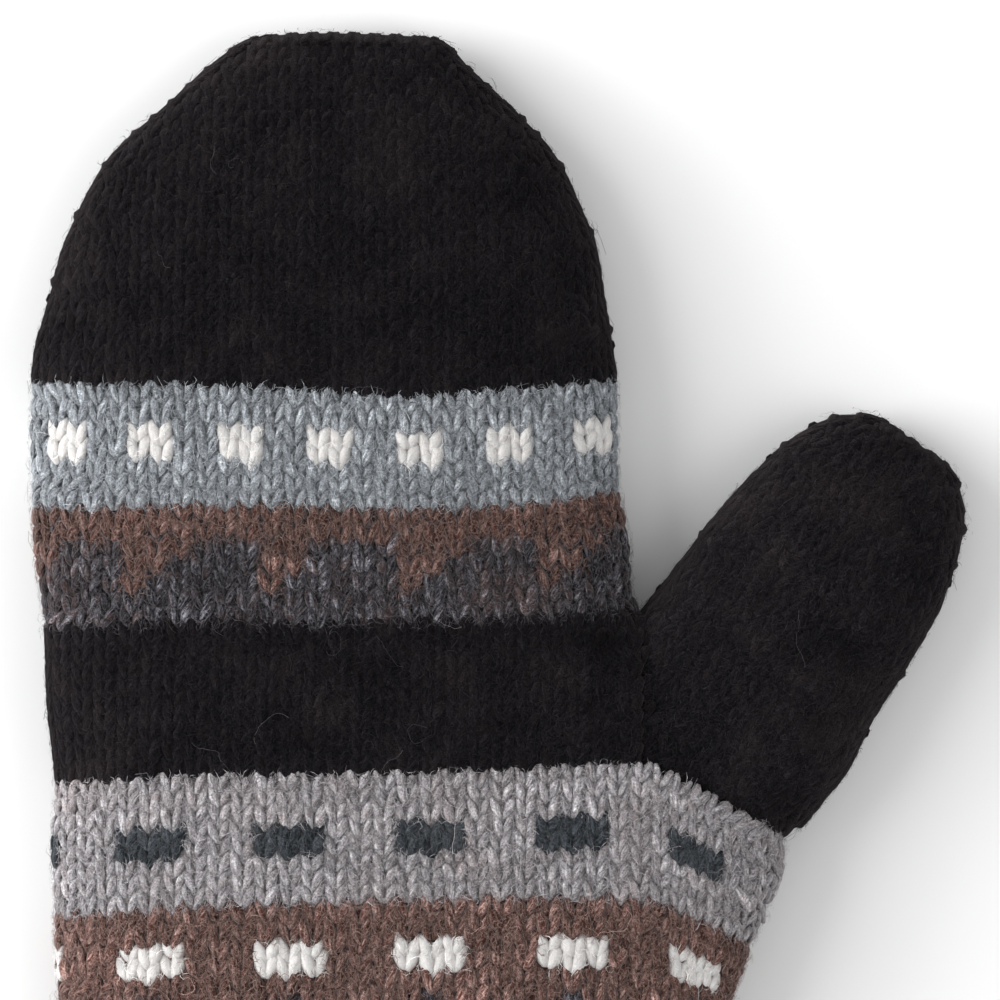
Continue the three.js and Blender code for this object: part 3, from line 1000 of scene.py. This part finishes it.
def make_band(piece, first, rounds, main):
    """One colour section of the hand, whose lowest round is the first, counted from the cuff"""
    knit = Knit(piece + "_knitting", PALER.get(piece, 1.0))
    make = partial(hand_course, cut=piece == "palm_band")
    for level in range(rounds):
        height = (first + level + 0.5) * COURSE
        for upper in (True, False):
            course = make(height, upper)
            above = make(height + COURSE, upper)
            if piece == "cuff":
                knit_rib_round(knit, course, above, level < RIB_ROUNDS_INSIDE)
            else:
                knit_round(knit, piece, level, main, course, above)
    heights = [(first + level) * COURSE for level in range(rounds + 1)]
    heights[:1] = [heights[0] + WALL_GAP, heights[0] + WALL_DIP * COURSE]
    heights[-1:] = [heights[-1] - WALL_DIP_ABOVE * COURSE, heights[-1] - WALL_GAP]
    depth = RIB_DEPTH if piece == "cuff" else FELTED_DEPTH if main == "black" else DEPTH
    last_depth = DEPTH
    if piece == "fingertip":
        heights.append(HAND[-1][0] + CLOSING_RISE)
        last_depth = CLOSED_DEPTH
    add_backing(knit, main, wall_layers(make, heights, depth, last_depth))
    return knit.build()


def make_thumb():
    """The thumb, which is knitted from the border with the light grey band"""
    knit = Knit("thumb_knitting", PALER["thumb"])
    for number in range(THUMB_ROUNDS):
        for upper in (True, False):
            course = thumb_course(number + 0.5, upper)
            above = thumb_course(number + 1.5, upper)
            knit_round(knit, "thumb", number, "black", course, above)
    past_border, before_tip, past_tip = 0.05, THUMB_ROUNDS - 0.3, THUMB_ROUNDS + 1
    numbers = [number + past_border for number in range(THUMB_ROUNDS)] + [before_tip, past_tip]
    add_backing(knit, "black", wall_layers(thumb_course, numbers, FELTED_DEPTH, CLOSED_DEPTH))
    return knit.build()


# Finishes

FIBRE_STRETCH = (2.4, 2.4, 0.45)  # fibres to a mm across the yarn, and along it
PATCHES = 0.31  # of the stray colour, to a mm
CLOUDS = 75.0  # to a metre
LIGHT_THREADS = (850.0, 0.035)  # to a metre, and how wide
DEEP_THREADS = (1300.0, 0.03)
BUMP = 0.3 * MM


class Value:
    """A node's socket that can be used in sums"""

    def __init__(self, tree, socket):
        self.tree = tree
        self.socket = socket

    def maths(self, operation, other, swap=False):
        """This value and another put together, the other one first with swap"""
        pair = [other, self] if swap else [self, other]
        return self.tree.node("ShaderNodeMath", {"operation": operation}, dict(enumerate(pair)))

    def __add__(self, other):
        return self.maths("ADD", other)

    def __radd__(self, other):
        return self.maths("ADD", other, swap=True)

    def __sub__(self, other):
        return self.maths("SUBTRACT", other)

    def __rsub__(self, other):
        return self.maths("SUBTRACT", other, swap=True)

    def __mul__(self, other):
        return self.maths("MULTIPLY", other)

    def __rmul__(self, other):
        return self.maths("MULTIPLY", other, swap=True)


def set_stops(ramp, stops):
    """Gives a colour ramp its stops: (place, colour)"""
    elements = ramp.color_ramp.elements
    while len(elements) < len(stops):
        elements.new(0.5)
    for element, (place, colour) in zip(elements, stops):
        element.position = place
        element.color = (*colour, 1)


class Finish:
    """A material's nodes"""

    def __init__(self, name):
        self.material = bpy.data.materials.new(name)
        self.material.use_nodes = True
        self.nodes = self.material.node_tree.nodes
        self.links = self.material.node_tree.links
        self.nodes.clear()

    def node(self, kind, settings=None, inputs=None, output=0):
        """A node of this kind. Settings are set first, then its sockets' values or links."""
        made = self.nodes.new(kind)
        for key, value in (settings or {}).items():
            if key == "stops":
                set_stops(made, value)
            else:
                setattr(made, key, value)
        for key, value in (inputs or {}).items():
            if isinstance(value, Value):
                self.links.new(value.socket, made.inputs[key])
            else:
                made.inputs[key].default_value = value
        return Value(self, made.outputs[output]) if made.outputs else None

    def mix(self, factor, a, b, blend="MIX"):
        """Two colours mixed"""
        a, b = ((*c, 1) if isinstance(c, tuple) and len(c) == 3 else c for c in (a, b))
        settings = {"data_type": "RGBA", "blend_type": blend}
        return self.node("ShaderNodeMix", settings, {0: factor, 6: a, 7: b}, output=2)

    def attribute(self, name, output):
        """What the knitting has at its points, by name"""
        settings = {"attribute_type": "GEOMETRY", "attribute_name": name}
        return self.node("ShaderNodeAttribute", settings, output=output)


def noise(f, place, scale, detail, roughness, distortion=0.0):
    """Soft random values around a half"""
    names = ("Vector", "Scale", "Detail", "Roughness", "Distortion")
    inputs = dict(zip(names, (place, scale, detail, roughness, distortion)))
    return f.node("ShaderNodeTexNoise", inputs=inputs, output="Fac")


def risen(f, value, low, high, most):
    """A smooth rise from 0 to most, as a value goes from low to high"""
    inputs = {"Value": value, "From Min": low, "From Max": high, "To Max": most}
    return f.node("ShaderNodeMapRange", {"interpolation_type": "SMOOTHSTEP"}, inputs, output="Result")


def around_one(value, amount):
    """A value around a half turned into one around 1, as strongly as amount"""
    return value * amount + (1 - 0.5 * amount)


def threads(f, place, scale, width):
    """Fine curling lines, 1 on a line and 0 away from it"""
    field = noise(f, place, scale, 1.0, 0.5, 0.5)
    away = f.node("ShaderNodeMath", {"operation": "ABSOLUTE"}, {0: field - 0.5})
    inputs = {"Value": away, "From Min": 0.0, "From Max": width, "To Min": 1.0, "To Max": 0.0}
    return f.node("ShaderNodeMapRange", inputs=inputs, output="Result")


def shaded(f, colour, tone):
    """A colour times a tone"""
    grey = f.node("ShaderNodeCombineColor", inputs={"Red": tone, "Green": tone, "Blue": tone})
    return f.mix(1.0, colour, grey, blend="MULTIPLY")


def wool(name, deep, mid, light, stray, hair, **settings):
    """Heathered alpaca yarn. Its fibres run along it from deep to light, with patches of a stray
    colour, and each stitch has its own tone, multiplied by the painted shade that darkens the legs
    towards their sides and ends and the backing wall. Finer fibres cross it, and loose hairs have a
    colour of their own. Settings that a yarn doesn't give are as in PLAIN."""
    look = PLAIN | settings
    f = Finish(name + "_yarn")
    fibre = f.attribute("fibre", "Vector")
    # tone: each stitch's own tone times the painted shade at the legs' sides and ends and on the backing
    # wall
    tone = f.attribute("tone", "Fac")
    loose = f.attribute("loose", "Fac")
    place = f.node("ShaderNodeTexCoord", output="Object")
    stretched = f.node("ShaderNodeMapping", inputs={"Vector": fibre, "Scale": FIBRE_STRETCH})
    strands = noise(f, stretched, 1.0, 3.0, 0.62, 0.4)
    spread = 0.13 / look["contrast"]
    stops = [(0.5 - 1.5 * spread, deep), (0.5, mid), (0.5 + 1.5 * spread, light)]
    colour = f.node("ShaderNodeValToRGB", {"stops": stops}, {"Fac": strands}, output="Color")
    patches = noise(f, fibre, PATCHES, 2.0, 0.6)
    colour = f.mix(risen(f, patches, 0.5, 0.66, look["stray_share"]), colour, stray)
    clouds = noise(f, place, CLOUDS, 3.0, 0.6)
    colour = f.mix(risen(f, clouds, 0.45, 0.7, look["stray_share"]), colour, stray)
    colour = f.mix(threads(f, place, *LIGHT_THREADS) * 0.55, colour, light)
    colour = f.mix(threads(f, place, *DEEP_THREADS) * 0.5, colour, deep)
    grain = noise(f, place, look["grain_scale"], 3.0, 0.65)
    tone = tone * around_one(grain, look["mottle"]) * around_one(clouds, look["cloud"])
    colour = shaded(f, f.mix(loose, colour, hair), tone)
    relief = strands * 0.6 + grain * look["rough"]
    bump = f.node("ShaderNodeBump", inputs={"Strength": 0.7, "Distance": BUMP, "Height": relief})
    inputs = {
        "Base Color": colour,
        "Roughness": 0.95,
        "Specular IOR Level": 0.0,
        "Sheen Weight": look["sheen"],
        "Sheen Roughness": 0.4,
        "Sheen Tint": (*look["sheen_tint"], 1),
        "Normal": bump,
    }
    surface = f.node("ShaderNodeBsdfPrincipled", inputs=inputs)
    f.node("ShaderNodeOutputMaterial", inputs={"Surface": surface})
    return f.material


# What a yarn's wool is like where YARNS says nothing else
PLAIN = {
    "contrast": 1.0,  # how sharply its colours part
    "mottle": 2.3,  # how much its fine grain shades it
    "cloud": 0.5,  # how much its wide grain does
    "grain_scale": 2500.0,  # grains to a metre
    "rough": 0.5,  # how much the fine grain roughens it
    "stray_share": 0.5,  # how plain the stray colour is
    "sheen": 0.3,
    "sheen_tint": (1, 1, 1),
}

# The yarns' colours. stray is a second colour in the blend, hair the loose hairs' colour.
YARNS = {
    "black": {
        "deep": (0.0034, 0.0031, 0.0041),
        "mid": (0.0067, 0.0062, 0.0077),
        "light": (0.018, 0.0164, 0.019),
        "stray": (0.0135, 0.0105, 0.01),
        "hair": (0.018, 0.0165, 0.0182),
        "mottle": 3.2,
        "grain_scale": 3600.0,
        "cloud": 1.6,
        "sheen": 0.09,
        "sheen_tint": (1.0, 0.87, 0.86),
        "rough": 1.7,
    },
    "blue_grey": {
        "deep": (0.065, 0.072, 0.082),
        "mid": (0.24, 0.258, 0.28),
        "light": (0.52, 0.55, 0.58),
        "stray": (0.11, 0.116, 0.127),
        "hair": (0.25, 0.265, 0.285),
    },
    "white": {
        "deep": (0.51, 0.495, 0.48),
        "mid": (0.585, 0.57, 0.558),
        "light": (0.655, 0.64, 0.63),
        "stray": (0.56, 0.535, 0.515),
        "hair": (0.62, 0.61, 0.6),
        "mottle": 0.5,
        "cloud": 0.2,
        "stray_share": 0.3,
    },
    "brown": {
        "deep": (0.03, 0.0113, 0.0083),
        "mid": (0.1, 0.051, 0.043),
        "light": (0.365, 0.25, 0.222),
        "stray": (0.06, 0.023, 0.0175),
        "hair": (0.196, 0.129, 0.113),
        "contrast": 1.15,
        "mottle": 2.6,
    },
    "heather": {
        "deep": (0.0075, 0.0065, 0.0085),
        "mid": (0.031, 0.0275, 0.032),
        "light": (0.19, 0.19, 0.212),
        "stray": (0.088, 0.052, 0.045),
        "hair": (0.072, 0.066, 0.073),
        "contrast": 1.25,
        "mottle": 2.6,
        "sheen": 0.2,
    },
    "light_grey": {
        "deep": (0.085, 0.077, 0.082),
        "mid": (0.29, 0.273, 0.287),
        "light": (0.57, 0.56, 0.57),
        "stray": (0.21, 0.168, 0.163),
        "hair": (0.29, 0.275, 0.29),
    },
    "charcoal": {
        "deep": (0.009, 0.0103, 0.0127),
        "mid": (0.027, 0.0305, 0.0355),
        "light": (0.085, 0.095, 0.105),
        "stray": (0.05, 0.053, 0.058),
        "hair": (0.08, 0.087, 0.095),
        "sheen": 0.1,
    },
}
FINISHES = {yarn: wool(yarn, **colours) for yarn, colours in YARNS.items()}


# The pieces


def make_pieces():
    """Every piece, by the name of the solid that it stands for"""
    made = {"thumb": make_thumb()}
    first = 0
    for name, rounds, main in BANDS:
        made[name] = make_band(name, first, rounds, main)
        first += rounds
    return made


for solid, piece in make_pieces().items():
    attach(piece, "root")
    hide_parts(solid)


# Floor, light and camera

PIXEL = 0.18 * MM  # the photo's scale, in metres
PHOTO_SIDE = 1000
PHOTO_ORIGIN = 330  # where the sections' x of 0 lies, in the photo's pixels from its left
PHOTO_TIP = 31  # where the tip lies, in pixels from its top
CAMERA_HEIGHT = 1.3
EDGE_HEIGHT = 0.010  # the height at which the outline is widest
SENSOR = 36
FLOOR_SIDE = 3.0
FLOOR_GAP = 0.0004  # below the mitten

# Lamps: (name, place, target, size, power)
LAMPS = (
    ("key", (-1.5, 0.3, 1.05), (0, 0.03, 0), 1.6, 25),
    ("low", (-1.6, 0.15, 0.42), (0, 0.03, 0.01), 1.0, 24),
    ("fill", (1.2, -0.3, 1.3), (0, 0.03, 0), 1.4, 7),
)
ROOM_LIGHT = 0.64


def floor():
    """A plain pale floor"""
    f = Finish("floor_paint")
    grain = f.node("ShaderNodeTexNoise", inputs={"Scale": 90.0, "Detail": 2.0}, output="Fac")
    colour = f.mix(grain, (0.86, 0.86, 0.86), (0.88, 0.88, 0.88))
    surface = f.node("ShaderNodeBsdfPrincipled", inputs={"Base Color": colour, "Roughness": 0.9})
    f.node("ShaderNodeOutputMaterial", inputs={"Surface": surface})
    mesh = bpy.data.meshes.new("floor")
    corners = [(x * FLOOR_SIDE, y * FLOOR_SIDE, 0) for x, y in ((-1, -1), (1, -1), (1, 1), (-1, 1))]
    mesh.from_pydata(corners, [], [(0, 1, 2, 3)])
    mesh.materials.append(f.material)
    plane = bpy.data.objects.new("floor", mesh)
    plane.location.z = -FLOOR_GAP
    bpy.context.scene.collection.objects.link(plane)


def softbox(name, place, target, size, power):
    """A round soft lamp at a place, turned to a target"""
    data = bpy.data.lights.new(name, "AREA")
    data.shape = "DISK"
    data.size = size
    data.energy = power
    lamp = bpy.data.objects.new(name, data)
    lamp.location = place
    lamp.rotation_euler = (Vector(target) - Vector(place)).to_track_quat("-Z", "Y").to_euler()
    bpy.context.scene.collection.objects.link(lamp)


def studio():
    """The floor, the lamps and the even light of a white room"""
    floor()
    for lamp in LAMPS:
        softbox(*lamp)
    world = bpy.data.worlds.new("studio")
    world.use_nodes = True
    background = world.node_tree.nodes["Background"]
    background.inputs["Color"].default_value = (1, 1, 1, 1)
    background.inputs["Strength"].default_value = ROOM_LIGHT
    bpy.context.scene.world = world
    bpy.context.scene.view_settings.view_transform = "Standard"


def camera():
    """The camera, straight above, where the photo's was"""
    middle = PHOTO_SIDE / 2
    x = (middle - PHOTO_ORIGIN) * PIXEL - MIDDLE_X * MM
    y = HAND[-1][0] * MM - (middle - PHOTO_TIP) * PIXEL + MOUTH_Y * MM
    data = bpy.data.cameras.new("camera")
    data.sensor_width = SENSOR
    data.lens = SENSOR * (CAMERA_HEIGHT - EDGE_HEIGHT) / (PHOTO_SIDE * PIXEL)
    data.clip_end = 10
    view = bpy.data.objects.new("camera", data)
    view.location = (x, y, CAMERA_HEIGHT)
    bpy.context.scene.collection.objects.link(view)
    bpy.context.scene.camera = view


studio()
camera()
